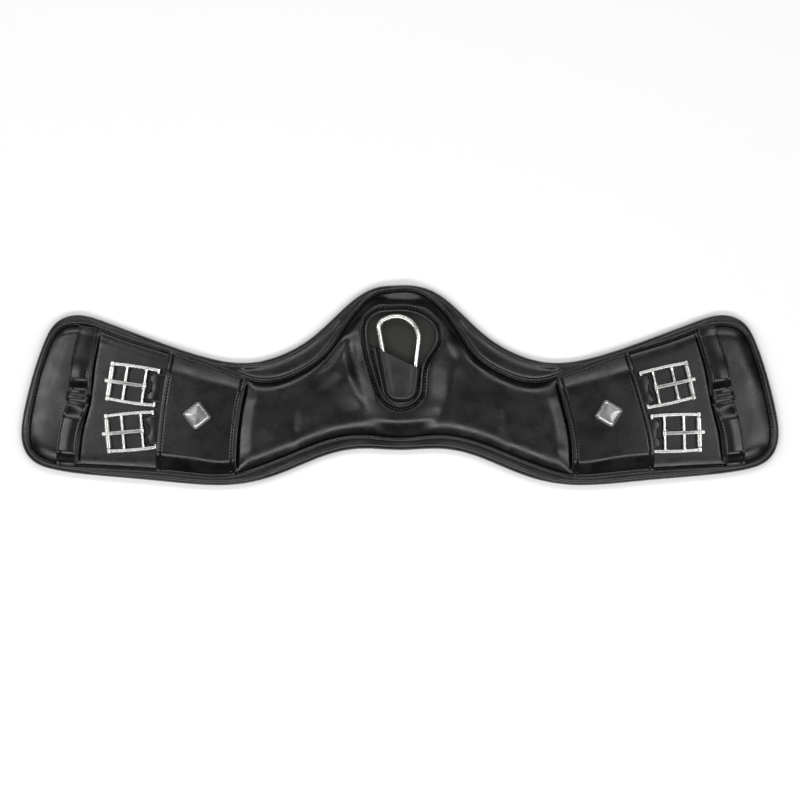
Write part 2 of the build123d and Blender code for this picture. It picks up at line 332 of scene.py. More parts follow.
def new_mesh(name, vertices, faces):
    """A mesh from arrays or lists."""
    mesh = bpy.data.meshes.new(name)
    mesh.from_pydata([tuple(v) for v in vertices], [], [tuple(int(i) for i in f) for f in faces])
    return mesh


def add_piece(name, vertices, faces, material, slot, normals=None):
    """A smooth-shaded visible piece with one material."""
    mesh = new_mesh(name, vertices, faces)
    mesh.validate()
    mesh.shade_smooth()
    if normals is not None:
        mesh.normals_split_custom_set_from_vertices([tuple(n) for n in normals])
    piece = new_object(name, mesh)
    mesh.materials.append(material)
    return piece


def vertex_normals(vertices, faces):
    """The normals that a smooth mesh has before it is cut into halves."""
    mesh = new_mesh("normals", vertices, faces)
    normals = np.array([v.normal for v in mesh.vertices])
    bpy.data.meshes.remove(mesh)
    return normals


def rows_to_faces(rows, columns, closed_rows=False, closed_columns=False):
    """Quads over a grid whose vertices run row by row."""
    faces = []
    for r in range(rows if closed_rows else rows - 1):
        for c in range(columns if closed_columns else columns - 1):
            r2, c2 = (r + 1) % rows, (c + 1) % columns
            faces.append((r * columns + c, r * columns + c2, r2 * columns + c2, r2 * columns + c))
    return faces


def fill(loop, holes=(), step=2.2 * MM, margin=1.1 * MM, rings=(), lines=()):
    """Triangles over the inside of an outline, with finer rows of points beside its edges and along lines."""
    outlines = (loop, *holes)
    border = [evenly(line, step * EDGE_SPACING) for line in outlines]
    low, high = loop.min(0), loop.max(0)
    ys = np.arange(low[1], high[1], step * ROW_SPACING)
    rows = [np.arange(low[0] + (i % 2) * step / 2, high[0], step) for i in range(len(ys))]
    grid = np.concatenate([np.column_stack([row, np.full(len(row), y)]) for row, y in zip(rows, ys)])
    last = rings[-1] if rings else 0
    for line in outlines:
        grid = grid[distance(grid, line) > last + margin]
    extra = []
    for line, sign in zip(outlines, (-1, *[1] * len(holes))):
        for ring in rings:
            row = evenly(offset(line, sign * ring), step * EDGE_SPACING)
            extra.append(row[distance(row, line) > 0.97 * ring])
    for line in lines:
        normals = outward(line)
        normals[0], normals[-1] = normals[1], normals[-2]
        grid = grid[nearest(grid, line) > LINE_CLEARANCE]
        for shift in np.arange(-LINE_ROWS, LINE_ROWS + 1) * MM:
            row = line + normals * shift
            extra.append(row[distance(row, loop) > last + 0.5 * MM])
    inner = np.concatenate([*extra, grid])
    keep = inside(inner, loop)
    for line in holes:
        keep &= ~inside(inner, line)
    points = np.concatenate([*border, inner[keep]])
    edges, start = [], 0
    for line in border:
        edges += [(start + i, start + (i + 1) % len(line)) for i in range(len(line))]
        start += len(line)
    flat, _, triangles, *_ = delaunay_2d_cdt([Vector(p) for p in points], edges, [], 0, 1e-7, False)
    flat, triangles = np.array(flat), np.array(triangles)
    middle = flat[triangles].mean(1)
    keep = inside(middle, border[0])
    for line in border[1:]:
        keep &= ~inside(middle, line)
    return flat, triangles[keep]


def halves(name, vertices, faces, material, slot):
    """A piece that crosses both bending lines, as a left and a right half that meet at the centre."""
    vertices = np.asarray(vertices)
    normals = vertex_normals(vertices, faces)
    made = []
    for side, sign in SIDES.items():
        mine = [f for f in faces if (vertices[list(f)][:, 0].mean() >= 0) == (sign > 0)]
        used = sorted({i for f in mine for i in f})
        index = {old: new for new, old in enumerate(used)}
        piece = add_piece(f"{name}_{side}", vertices[used], [[index[i] for i in f] for f in mine],
                          material, slot, normals[used])
        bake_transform(piece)
        made.append(piece)
    return made


def tube(path, radius, sides=12):
    """Vertices and faces of a round tube along a closed, level path."""
    along = np.roll(path, -1, 0) - np.roll(path, 1, 0)
    along[:, 2] = 0
    along = unit(along)
    side = np.stack([along[:, 1], -along[:, 0], 0 * along[:, 0]], 1)
    angles = np.arange(sides) / sides * 2 * np.pi
    rings = [path + side * radius * math.cos(a) + np.array([0, 0, radius]) * math.sin(a) for a in angles]
    vertices = np.stack(rings, 1).reshape(-1, 3)
    return vertices, rows_to_faces(len(path), sides, True, True)


def swept(lines):
    """Vertices and faces of a bar with flat ends, from the long lines round its section."""
    count, length = len(lines), len(lines[0])
    vertices = np.stack(lines, 1).reshape(-1, 3)
    faces = rows_to_faces(length, count, closed_columns=True)
    last = (length - 1) * count
    return vertices, faces + [list(range(count))[::-1], [last + i for i in range(count)]]


def stitch_mesh(path, lift, pitch=3.1 * MM, length=2.3 * MM, radius=0.42 * MM, lean=0.12, closed=False):
    """Short thread stitches along a path of points, each a small capsule lying on the surface."""
    line = np.vstack([path, path[:1]]) if closed else path
    along = lengths(line)
    at = np.arange(pitch / 2, along[-1] - pitch / 2, pitch)
    centre = np.stack([np.interp(at, along, line[:, k]) for k in range(3)], 1)
    ahead = np.stack([np.interp(at + 0.3 * MM, along, line[:, k]) for k in range(3)], 1)
    forward = ahead - centre
    forward /= np.linalg.norm(forward, axis=1)[:, None] + 1e-12
    side = np.stack([forward[:, 1], -forward[:, 0], 0 * forward[:, 0]], 1)
    forward = forward + side * lean
    up = np.array([0, 0, 1.0])
    vertices, faces = [], []
    # where along the half-length, then girth and rise as shares of the radius
    stations = [(-1, 0.25, -0.5), (-0.8, 0.75, 0.15), (0, 1, 0.5), (0.8, 0.75, 0.15), (1, 0.25, -0.5)]
    sides = 6
    for c, f, s in zip(centre, forward, side):
        start = len(vertices)
        for t, girth, rise in stations:
            hub = c + f * t * length / 2 + up * (lift + rise * radius)
            for k in range(sides):
                a = 2 * math.pi * k / sides
                vertices.append(hub + (s * math.cos(a) + up * math.sin(a)) * radius * girth)
        grid = rows_to_faces(len(stations), sides, closed_columns=True)
        faces += [[start + i for i in face] for face in grid]
        faces.append([start + k for k in range(sides)][::-1])
        faces.append([start + (len(stations) - 1) * sides + k for k in range(sides)])
    return np.array(vertices), faces


def joined(*parts):
    """Several sets of vertices and faces as one."""
    vertices, faces, start = [], [], 0
    for v, f in parts:
        vertices.append(np.asarray(v))
        faces += [[start + i for i in face] for face in f]
        start += len(v)
    return np.concatenate(vertices), faces


def smoothstep(value, low, high):
    """From 0 at low to 1 at high, with a soft start and stop."""
    t = np.clip((value - low) / (high - low), 0, 1)
    return t * t * (3 - 2 * t)


def ripple(points, wavelength, seed):
    """Smooth noise between about -1 and 1, the same on every run."""
    return np.array([noise.noise(Vector((x / wavelength, y / wavelength, seed))) for x, y in points[:, :2]])


# -------- the padded body

RIM_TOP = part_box("rim_centre")[1].z
FACE_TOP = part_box("face_centre")[1].z
PAD_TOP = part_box("centre_pad")[1].z
LIP_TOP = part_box("pocket_lip")[1].z
FACE_EDGE = RIM_TOP + 0.3 * MM
STITCH_INSET = 1.4 * MM
POCKET_STITCH_GAP = 1.7 * MM
LINING_STITCH_INSET = 13 * MM
# Each cover's outer and inner edge, then each keeper's middle line: (x, y) in mm, from the top down.
COVER_EDGES = {
    "left": (
        [(-209.5, 40), (-213, 17), (-217.5, -10), (-220.8, -36), (-223.6, -68), (-224, -95)],
        [(-139, 20), (-144, -2), (-148, -20), (-151.3, -46), (-152.5, -66), (-152.7, -95)],
    ),
    "right": (
        [(207.5, 40), (214, 14), (220.5, -8), (226, -27), (231, -47), (233, -65), (232.8, -95)],
        [(142, 20), (148, -3), (153, -22), (157.5, -40), (160, -58), (160.1, -95)],
    ),
}
KEEPER_WIDTH = 17.6 * MM
KEEPER_BREAK_Y = -14.8 * MM
KEEPER_LINES = {
    "left": [(286.2, 55), (294, 16), (296.6, -14.8), (304.6, -43), (308, -76)],
    "right": [(281, 55), (293, 16), (298, -14.8), (305.6, -43), (309.5, -76)],
}
CURVE_BLUR = 6 * MM  # the reach over which a corner of such a line is rounded

# Relief of the face: crowns rise from FACE_TOP, banks from the seam, the ring and pocket bank past PAD_TOP.
CENTRE_CROWN = 2.6 * MM
END_CROWN = 2.0 * MM
CENTRE_SWELL = 1.0 * MM
BANK_START = 1.2 * MM
LOW_BANK_SLOPE = 0.52
POCKET_BANK_SLOPE = 0.58
POCKET_BANK_RISE = 3.2 * MM
RING_RISE, PEAK_RING_RISE = 0.8 * MM, 0.2 * MM
RING_VALLEY = 0.7 * MM
CREASE_DEPTH = 1.3 * MM
LEDGE_START, LEDGE_SLOPE, LEDGE_DROP = 13.5 * MM, 0.56, 4.3 * MM
BEND_CREASE = 0.5 * MM
POCKET_GROOVE = 2.0 * MM
BORDER_GROOVE = 1.3 * MM
TUCK_DEPTH = 2.2 * MM
COVER_TUCK, KEEPER_TUCK = 1.6 * MM, 1.9 * MM
BROAD_RIPPLE, FINE_RIPPLE = 0.32 * MM, 0.13 * MM


def curve_x(points, y):
    """x at height y on a smooth line through points that run from the top down."""
    known = np.array(points)[::-1] * MM
    line = np.interp(y, known[:, 1], known[:, 0])
    for shift in (-CURVE_BLUR, CURVE_BLUR):
        line = line + np.interp(y + shift, known[:, 1], known[:, 0])
    return line / 3


def bell(value, middle, spread):
    """1 at the middle, falling off smoothly to both sides."""
    return np.exp(-(((value - middle) / spread) ** 2))


def soft_minimum(a, b, blur):
    """The lower of two values, with the corner between them rounded."""
    return -blur * np.logaddexp(-a / blur, -b / blur)


def face_distances(points):
    """How far points lie from the seam, the pocket, the cover's inner edge and the keeper's."""
    x, y = np.abs(points[:, 0]), points[:, 1]
    cover_left, cover_right = (curve_x(COVER_EDGES[side][1], y) for side in SIDES)
    from_cover = np.where(points[:, 0] > 0, cover_right, -cover_left) - x
    keeper_left, keeper_right = (curve_x(KEEPER_LINES[side], y) for side in SIDES)
    from_keeper = x + KEEPER_WIDTH / 2 - np.where(points[:, 0] > 0, keeper_right, keeper_left)
    return distance(points, seam), distance(points, pocket), from_cover, from_keeper


def face_height(points):
    """Height of the outer leather: flat under the buckles, crowned at the centre and at the ends."""
    points = np.asarray(points)[:, :2]
    x, y = np.abs(points[:, 0]), points[:, 1]
    edge, gap, from_cover, from_keeper = face_distances(points)
    # The zones, each from 0 to 1: between the covers, beyond the keepers, the lower side, the raised peak.
    middle = smoothstep(from_cover, 0, 15 * MM)
    end = smoothstep(from_keeper, -1 * MM, 11 * MM)
    low_side = smoothstep(-y, 5 * MM, 35 * MM)
    peak = bell(x, 0, 38 * MM) * smoothstep(y, 45 * MM, 70 * MM)

    # The padding's general level, which rounds down to the seam.
    level = FACE_TOP - 0.1 * MM + CENTRE_CROWN * middle * (1 - 0.9 * peak) + END_CROWN * end
    reach = (4.5 + 1.5 * end) * MM
    shoulder = 1 - np.exp(-((np.maximum(edge - 1.6 * MM, 0) / reach) ** 1.5))
    swell = CENTRE_SWELL * middle * (1 - peak) * bell(edge, 18 * MM, 8 * MM)
    z = FACE_EDGE + (level - FACE_EDGE) * shoulder + swell
    rise = edge - BANK_START
    low_bank = FACE_EDGE + soft_minimum(LOW_BANK_SLOPE * rise, level + swell - FACE_EDGE, 0.6 * MM)
    z += (low_bank - z) * middle * low_side

    # The raised ring round the pocket, and the bank below it.
    brow = (3.5 + 1.5 * smoothstep(-y, 0, 22 * MM)) * MM
    dome = np.exp(-((np.maximum(gap - brow, 0) / ((12 - 8.5 * peak) * MM)) ** 2))
    ring_top = PAD_TOP + RING_RISE + (PEAK_RING_RISE - RING_RISE) * peak
    z += (ring_top - z) * dome * smoothstep(edge, 1 * MM, (17 - 8 * peak) * MM)
    under = bell(points[:, 0], 3 * MM, 32 * MM) * smoothstep(-y, 8 * MM, 24 * MM)
    bank_top = PAD_TOP + POCKET_BANK_RISE - FACE_EDGE
    bank = FACE_EDGE + soft_minimum(POCKET_BANK_SLOPE * rise, bank_top, 0.9 * MM)
    z += (bank - z) * under

    # The valley round the ring. To the left of the pocket it is a crease with a ledge beyond it.
    leftward = smoothstep(-points[:, 0], 12 * MM, 34 * MM)
    inner = smoothstep(edge, 3 * MM, 14 * MM)
    z -= RING_VALLEY * (1 - leftward) * bell(gap, 24 * MM, 6.5 * MM) * inner
    crease = leftward * smoothstep(y, -30 * MM, 10 * MM) * (1 - smoothstep(y, 38 * MM, 52 * MM))
    ledge = soft_minimum((gap - LEDGE_START) * LEDGE_SLOPE, LEDGE_DROP, 0.15 * MM)
    step = np.maximum(ledge, 0) * np.exp(-((np.maximum(gap - 23 * MM, 0) / (24 * MM)) ** 2))
    z -= crease * (CREASE_DEPTH * smoothstep(gap, 3 * MM, 9 * MM) + step) * inner

    # Creases at the bending lines, grooves along the stitches and tucks beside covers and keepers.
    z -= BEND_CREASE * bell(x, BEND_X, 5 * MM) * middle * low_side * inner
    z -= POCKET_GROOVE * bell(gap, POCKET_STITCH_GAP, 1.0 * MM)
    z -= BORDER_GROOVE * bell(edge, STITCH_INSET, 0.8 * MM)
    tucks = bell(from_cover, COVER_TUCK, 1.6 * MM) + bell(from_keeper, -KEEPER_TUCK, 1.5 * MM)
    z -= TUCK_DEPTH * smoothstep(edge, 2.5 * MM, 9 * MM) * tucks

    # The leather's own slight unevenness, strongest where it is free.
    free = smoothstep(edge, 3 * MM, 12 * MM) * (0.3 + 0.7 * np.maximum(middle, end))
    z += free * (BROAD_RIPPLE * ripple(points, 30 * MM, 3.1) + FINE_RIPPLE * ripple(points, 12 * MM, 8.4))
    return z


def make_face():
    """The outer leather with its padding, as one skin from the seam to the pocket."""
    y = np.arange(-92, 55, 1.8) * MM
    lines = []
    for side, sign in SIDES.items():
        lines.append(np.column_stack([curve_x(COVER_EDGES[side][1], y) - sign * COVER_TUCK, y]))
        keeper = curve_x(KEEPER_LINES[side], y) - KEEPER_WIDTH / 2 - KEEPER_TUCK
        lines.append(np.column_stack([sign * keeper, y]))
    rings = [r * MM for r in (0.7, 1.3, 1.8, 2.2, 2.7, 3.2, 3.7, 4.2, 4.8, 5.6)]
    flat, triangles = fill(seam, [pocket], rings=rings, lines=lines)
    vertices = np.column_stack([flat, face_height(flat)])
    pieces = halves("face_panel", vertices, triangles.tolist(), face_leather, "black_leather")
    for piece, side in zip(pieces, SIDES):
        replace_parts(piece, f"face_{side}", f"foam_{side}", f"load_web_{side}")
    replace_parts(pieces[0], "face_centre", "foam_centre", "load_web_centre", "centre_pad")


def border_points():
    """For each point round the seam, the point of the outer edge straight out from it."""
    normals = outward(seam)
    start, step = rim, np.roll(rim, -1, 0) - rim
    found = np.zeros_like(seam)
    for i, (p, n) in enumerate(zip(seam, normals)):
        cross = step[:, 0] * n[1] - step[:, 1] * n[0]
        gap = start - p
        cross = np.where(cross == 0, 1e-12, cross)
        reach = (step[:, 0] * gap[:, 1] - step[:, 1] * gap[:, 0]) / cross
        share = (n[0] * gap[:, 1] - n[1] * gap[:, 0]) / cross
        hit = (share >= 0) & (share <= 1) & (reach > 0)
        found[i] = p + n * (reach[hit].min() if hit.any() else np.linalg.norm(gap, axis=1).min())
    width = blurred(np.linalg.norm(found - seam, axis=1), 4)
    return seam + normals * width[:, None], width


def make_shell():
    """The rolled border and the underside: one soft skin from the seam, over the edge and below."""
    edge, width = border_points()
    half = RIM_TOP / 2
    roll = np.minimum(4.6 * MM, 0.8 * width)
    direction = (edge - seam) / width[:, None]
    wide = smoothstep(width, 10.5 * MM, 15 * MM)
    welted = smoothstep(width, 6.5 * MM, 7.5 * MM) * smoothstep(np.abs(seam[:, 0]), 110 * MM, 150 * MM)
    rows = []
    for t in np.linspace(0, 1, 14)[:-1]:
        inset = width + (roll - width) * t
        crown = (0.2 + 1.5 * wide) * MM * math.sin(math.pi * t)
        rows.append((inset, RIM_TOP + crown - 1.3 * MM * np.exp(-(((width - inset) / (1.3 * MM)) ** 2))))
    for angle in np.radians(np.linspace(90, -90, 25)):
        inset = roll * (1 - math.cos(angle))
        line = 0.45 * MM * welted * bell(inset, 2.9 * MM, 0.5 * MM) * (angle > 0)
        rows.append((inset, half + half * math.sin(angle) - line))
    rings = [np.column_stack([edge - direction * np.reshape(inset, (-1, 1)), z]) for inset, z in rows]
    count = len(seam)
    vertices = np.concatenate(rings)
    faces = [f[::-1] for f in rows_to_faces(len(rings), count, closed_columns=True)]
    flat, triangles = fill(rings[-1][:, :2], step=5 * MM, margin=2.5 * MM)
    z = 0.9 * MM * bell(distance(flat, rim), LINING_STITCH_INSET, 2 * MM)
    base = (np.column_stack([flat, z]), [t[::-1] for t in triangles.tolist()])
    pieces = halves("lining_shell", *joined((vertices, faces), base), lining_leather, "lining_leather")
    for piece, side in zip(pieces, SIDES):
        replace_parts(piece, f"lining_{side}", f"rim_{side}")
    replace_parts(pieces[0], "lining_centre", "rim_centre")
    line = evenly(offset(rim, -LINING_STITCH_INSET), 2 * MM)
    stitches = stitch_mesh(at_height(line, 0.75 * MM), -0.1 * MM, closed=True)
    halves("lining_stitches", *stitches, thread, "thread")


def make_piping():
    """The cord of leather sewn into the seam, and the stitches beside it."""
    line = evenly(blurred(offset(seam, 0.9 * MM), 2), 1.5 * MM)
    path = at_height(line, FACE_EDGE + 0.6 * MM)
    pieces = halves("piping", *tube(path, 1.0 * MM), lip_leather, "black_leather")
    for piece, side in zip(pieces, SIDES):
        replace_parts(piece, f"piping_{side}")
    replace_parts(pieces[0], "piping_centre")
    line = evenly(offset(seam, -STITCH_INSET), 1.5 * MM)
    path = np.column_stack([line, face_height(line)])
    halves("border_stitches", *stitch_mesh(path, 0.25 * MM, closed=True), thread, "thread")


make_face()
make_shell()
make_piping()


# -------- the pocket and its hook

HOOK_DIRECTION = Vector(JOINTS["hook_draw"]["axis"])
HOOK_SLOPE = HOOK_DIRECTION.z / HOOK_DIRECTION.y
HOOK_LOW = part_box("hook_body")[0]
WIRE_RADIUS = 2.35 * MM
HOOK_BASE = HOOK_LOW.z + WIRE_RADIUS - HOOK_SLOPE * HOOK_LOW.y
FLAP_THICKNESS = 1.0 * MM
HOOD_CLEARANCE = 0.95 * MM
HOOD_HOLLOW = 0.7 * MM
FLAP_LIFT = 1.2 * MM  # beside the hook, over the pocket's floor
MOUTH = (Vector((-40, 43)) * MM, Vector((40, 5)) * MM)  # a line across the pocket, along the flap's free edge
TETHER_ROOT_Y = -17.5 * MM


def make_lip():
    """The bound edge of the pocket, and the stitches round it."""
    line = evenly(lip_line, 1 * MM)
    path = at_height(line, LIP_TOP - 1.2 * MM)
    lip = add_piece("lip", *tube(path, 1.25 * MM), lip_leather, "black_leather")
    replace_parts(lip, "pocket_lip")
    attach(lip, "centre")
    line = evenly(offset(pocket, POCKET_STITCH_GAP), 1 * MM)
    path = np.column_stack([line, face_height(line)])
    stitches = stitch_mesh(path, 0.35 * MM, radius=0.5 * MM, closed=True)
    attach(add_piece("pocket_stitches", *stitches, thread, "thread"), "centre")


def make_floor():
    """The soft bottom of the recess, turned up at its wall."""
    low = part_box("pocket_floor")[1].z
    outline = offset(pocket, -0.9 * MM)
    flat, triangles = fill(outline, step=1.6 * MM, margin=0.8 * MM)
    wall = np.exp(-((distance(flat, outline) / (2.4 * MM)) ** 1.5))
    z = low + 0.25 * MM + (LIP_TOP - 1.4 * MM - low) * wall + 0.15 * MM * ripple(flat, 9 * MM, 5.0)
    floor = add_piece("recess_floor", np.column_stack([flat, z]), triangles.tolist(), nubuck, "pocket_floor")
    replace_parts(floor, "pocket_floor")
    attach(floor, "centre")


def convex_hull(points):
    """The outline that a band drawn round plan points would take."""
    ordered = sorted(map(tuple, points))
    hull = []
    for run in (ordered, ordered[::-1]):
        part = []
        for p in run:
            while len(part) > 1 and (
                (part[-1][0] - part[-2][0]) * (p[1] - part[-2][1])
                - (part[-1][1] - part[-2][1]) * (p[0] - part[-2][0])
            ) <= 0:
                part.pop()
            part.append(p)
        hull += part[:-1]
    return np.array(hull)


def make_flap():
    """The leather over the hook's lower half, drawn tight over its shape and open along a slant; beside the
    hood it is painted black as shade.
    """
    body = np.array([v.co for v in frame["nodes"]["hook_body"].data.vertices])
    gate = np.array([v.co for v in frame["nodes"]["hook_gate"].data.vertices])
    hull = smooth_loop(convex_hull(np.concatenate([body, gate])[:, :2]), 0.5 * MM, 1 * MM)
    start, end = (np.array(p) for p in MOUTH)
    wall = offset(pocket, -1.6 * MM)
    slope = (end[1] - start[1]) / (end[0] - start[0])
    below = wall[:, 1] < start[1] + slope * (wall[:, 0] - start[0])
    first = next(i for i in range(len(wall)) if below[i] and not below[i - 1])
    ordered = np.roll(wall, -first, 0)[: below.sum()]
    count = 40
    mouth = ordered[-1] + (ordered[0] - ordered[-1]) * (np.arange(1, count)[:, None] / count)
    outline = np.concatenate([ordered, mouth])
    flat, triangles = fill(outline, step=1.4 * MM, margin=0.7 * MM)
    away = np.where(inside(flat, hull), 0, distance(flat, hull))
    top = HOOK_BASE + HOOK_SLOPE * flat[:, 1] + WIRE_RADIUS + HOOD_CLEARANCE + FLAP_THICKNESS
    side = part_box("pocket_floor")[1].z + FLAP_LIFT
    cover = np.exp(-((away / (2.1 * MM)) ** 2))
    inner = np.where(inside(flat, hull), distance(flat, hull), 0)
    hollow = HOOD_HOLLOW * smoothstep(inner, 2 * MM, 8 * MM)
    bank = (LIP_TOP - 2.0 * MM - side) * np.exp(-((distance(flat, wall) / (2.9 * MM)) ** 2))
    z = side + bank * (1 - cover) + (top - hollow - side) * cover + 0.12 * MM * ripple(flat, 8 * MM, 2.0)
    vertices = np.column_stack([flat, z])
    under = vertices - [0, 0, FLAP_THICKNESS]
    n = len(flat)
    faces = triangles.tolist() + [[i + n for i in t[::-1]] for t in triangles.tolist()]
    sides = dict.fromkeys(pair for t in triangles.tolist() for pair in zip(t, t[1:] + t[:1]))
    faces += [[b, a, a + n, b + n] for a, b in sides if (b, a) not in sides]
    flap = add_piece("hook_flap", np.concatenate([vertices, under]), faces, flap_leather, "black_leather")
    # Faces more than 1.5 mm beside the hood get the black strap leather: painted shade for the deep valley
    # between the hood and the pocket's wall.
    flap.data.materials.append(strap_leather)
    beside = np.concatenate([away, away]) > 1.5 * MM
    for polygon in flap.data.polygons:
        polygon.material_index = int(beside[list(polygon.vertices)].all())
    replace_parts(flap, "pocket_flap")
    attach(flap, "centre")


def make_tether():
    """A narrow strap from under the flap's foot that loops round the hook's closed end."""
    hook_foot = HOOK_LOW.y + WIRE_RADIUS
    level = HOOK_BASE + HOOK_SLOPE * hook_foot
    root_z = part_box("pocket_floor")[1].z + 1.0 * MM
    low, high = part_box("hook_tether")
    around = WIRE_RADIUS + 0.7 * MM
    line = [(y, root_z + (level - around - root_z) * smoothstep(y, TETHER_ROOT_Y, hook_foot))
            for y in np.linspace(TETHER_ROOT_Y - 1 * MM, hook_foot, 16)]
    line += [(hook_foot + around * math.sin(a), level - around * math.cos(a))
             for a in np.radians(np.arange(15, 271, 15))]
    path = np.array([[(low.x + high.x) / 2, y, z] for y, z in line])
    across = np.tile([1.0, 0, 0], (len(path), 1))
    half, thickness = 4 * MM, 0.55 * MM
    forward = unit(np.gradient(path, axis=0))
    up = np.cross(forward, across)
    section = [(-1, 0), (-0.93, 1), (0.93, 1), (1, 0), (0.93, -1), (-0.93, -1)]
    rings = [path + across * a * half + up * b * thickness for a, b in section]
    loop = add_piece("tether_loop", *swept(rings), strap_leather, "black_leather")
    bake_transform(loop)
    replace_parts(loop, "hook_tether")


make_lip()
make_floor()
make_flap()
make_tether()


# -------- cover panels and badges

COVER_THICKNESS = 2.0 * MM
COVER_OVERLAP = 0.6 * MM  # past the seam, into the piping
COVER_STITCH_INSET = 3.0 * MM
COVER_CROWN, COVER_FALL = 6.3 * MM, 1.5 * MM  # over FACE_TOP at the buckles, and how much lower further in


def cover_grid(side, across, down):
    """Plan points of a panel: across from 0 at the buckles to 1, down from 0 at the top to 1."""
    outer, inner = COVER_EDGES[side]
    y = np.linspace(45 * MM, -92 * MM, 500)
    tuck = offset(seam, COVER_OVERLAP)
    columns = []
    for a in across:
        x = curve_x(outer, y) * (1 - a) + curve_x(inner, y) * a
        held = y[inside(np.column_stack([x, y]), tuck)]
        rows = held.max() + (held.min() - held.max()) * np.asarray(down)
        columns.append(np.column_stack([curve_x(outer, rows) * (1 - a) + curve_x(inner, rows) * a, rows]))
    return np.array(columns)


def cover_height(points, side):
    """A panel lies tight over the elastics, slopes down to its seams and dips along its stitches."""
    outer, inner = COVER_EDGES[side]
    x, y = points[:, 0], points[:, 1]
    from_outer = np.abs(x - curve_x(outer, y))
    from_inner = np.abs(x - curve_x(inner, y))
    edge = distance(points, offset(seam, COVER_OVERLAP))
    low_side = smoothstep(-y, 10 * MM, 40 * MM)
    share = from_outer / (from_outer + from_inner)
    top = FACE_TOP + COVER_CROWN - COVER_FALL * smoothstep(share, 0.35, 1)
    foot = FACE_EDGE + 1.9 * MM * (1 - low_side)
    slope = 0.43 + 0.12 * low_side
    rounding = (1.0 - 0.7 * low_side) * MM
    rise = soft_minimum((edge - 2.5 * MM) * slope, top - foot, rounding)
    z = foot + rise * smoothstep(edge, 1.5 * MM, 3.5 * MM)
    for gap in (from_outer, from_inner):
        z = z - 0.8 * MM * bell(gap, COVER_STITCH_INSET, 0.8 * MM) - 0.2 * MM * bell(gap, 0, 0.8 * MM)
    seed = {"left": 11.0, "right": 14.0}[side]
    return z + 0.22 * MM * ripple(points, 26 * MM, seed) * smoothstep(edge, 2 * MM, 10 * MM)


def make_cover(side):
    """A panel with rolled side edges and its stitches, in a grid that is finer beside all four edges."""
    margin = 0.085
    beside = np.linspace(0, margin, 15)
    across, down = (
        np.concatenate([beside, np.linspace(margin, 1 - margin, count)[1:-1], 1 - beside[::-1]])
        for count in (32, 50)
    )
    plan = cover_grid(side, across, down)
    flat = plan.reshape(-1, 2)
    z = cover_height(flat, side)
    top = np.column_stack([flat, z]).reshape(len(across), len(down), 3)
    turn = COVER_THICKNESS / 2
    strips = []
    for column, neighbour, angles in ((0, 1, (150, 110, 75, 45, 20)), (-1, -2, (20, 45, 75, 110, 150))):
        away = top[column] - top[neighbour]
        away[:, 2] = 0
        away = unit(away)
        strips.append([top[column] + away * turn * math.sin(a) - np.array([0, 0, turn * (1 - math.cos(a))])
                       for a in np.radians(angles)])
    under = top - [0, 0, COVER_THICKNESS]
    grid = np.array([*under[5:0:-1], *strips[0], *top, *strips[1], *under[-1:-6:-1]])
    faces = rows_to_faces(*grid.shape[:2])
    if side == "right":
        faces = [f[::-1] for f in faces]
    panel = add_piece(f"cover_{side}", grid.reshape(-1, 3), faces, face_leather, "black_leather")
    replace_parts(panel, f"cover_panel_{side}")
    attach(panel, f"{side}_wing")
    lines = []
    for edge, sign in ((0, 1), (1, -1)):
        y = np.linspace(plan[-edge, 0, 1] - 3 * MM, plan[-edge, -1, 1] + 3 * MM, 90)
        x = curve_x(COVER_EDGES[side][edge], y) - SIDES[side] * sign * COVER_STITCH_INSET
        lines.append(np.column_stack([x, y]))
    for row in (0, -1):
        step = unit(plan[:, 2 if row == 0 else -3] - plan[:, row])
        lines.append((plan[:, row] + step * 3.4 * MM)[3:-3])
    parts = [stitch_mesh(np.column_stack([line, cover_height(line, side)]), 0.25 * MM, radius=0.5 * MM)
             for line in lines]
    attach(add_piece(f"cover_stitches_{side}", *joined(*parts), thread, "thread"), f"{side}_wing")


def make_badge(side, tilt):
    """A plain domed diamond with rounded corners, set in a darker raised rim."""
    low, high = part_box(f"badge_{side}")
    centre = (low + high) / 2
    half, corner = 10 * MM, 3 * MM
    outline = []
    for quarter in range(4):
        hub = np.array([half - corner, half - corner])
        for angle in np.radians(np.linspace(0, 90, 9)):
            p = hub + corner * np.array([math.cos(angle), math.sin(angle)])
            a = math.radians(90 * quarter)
            outline.append((p[0] * math.cos(a) - p[1] * math.sin(a), p[0] * math.sin(a) + p[1] * math.cos(a)))
    outline = evenly(np.array(outline), 0.6 * MM)
    a = math.radians(tilt)
    turn = np.array([[math.cos(a), math.sin(a)], [-math.sin(a), math.cos(a)]])
    level = cover_height(np.array([[centre.x, centre.y]]), side)[0] - 0.2 * MM
    # Share of the outline, and height in mm, of each ring from the outside in.
    border = [(1.0, 0.0), (1.0, 0.9), (0.985, 1.3), (0.95, 1.5), (0.9, 1.45), (0.865, 1.15), (0.85, 1.1)]
    plate = [(0.85, 1.1), (0.84, 1.3), (0.81, 1.5), (0.7, 1.8), (0.5, 2.1), (0.25, 2.27), (0.08, 2.3)]
    made = []
    for name, stations, material in (("badge_rim", border, rim_metal), ("badge_plate", plate, badge_metal)):
        rings = [at_height((outline * s) @ turn + [centre.x, centre.y], level + h * MM) for s, h in stations]
        vertices = np.concatenate(rings)
        faces = rows_to_faces(len(rings), len(outline), closed_columns=True)
        if name == "badge_plate":
            last = (len(rings) - 1) * len(outline)
            faces.append([last + i for i in range(len(outline))])
        made.append(add_piece(f"{name}_{side}", vertices, faces, material, "badge_metal"))
        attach(made[-1], f"{side}_wing")
    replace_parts(made[1], f"badge_{side}")


for side in SIDES:
    make_cover(side)
make_badge("left", 38)
make_badge("right", 59)


# -------- elastic ends and buckles

ELASTIC_WIDTH = 27.4 * MM


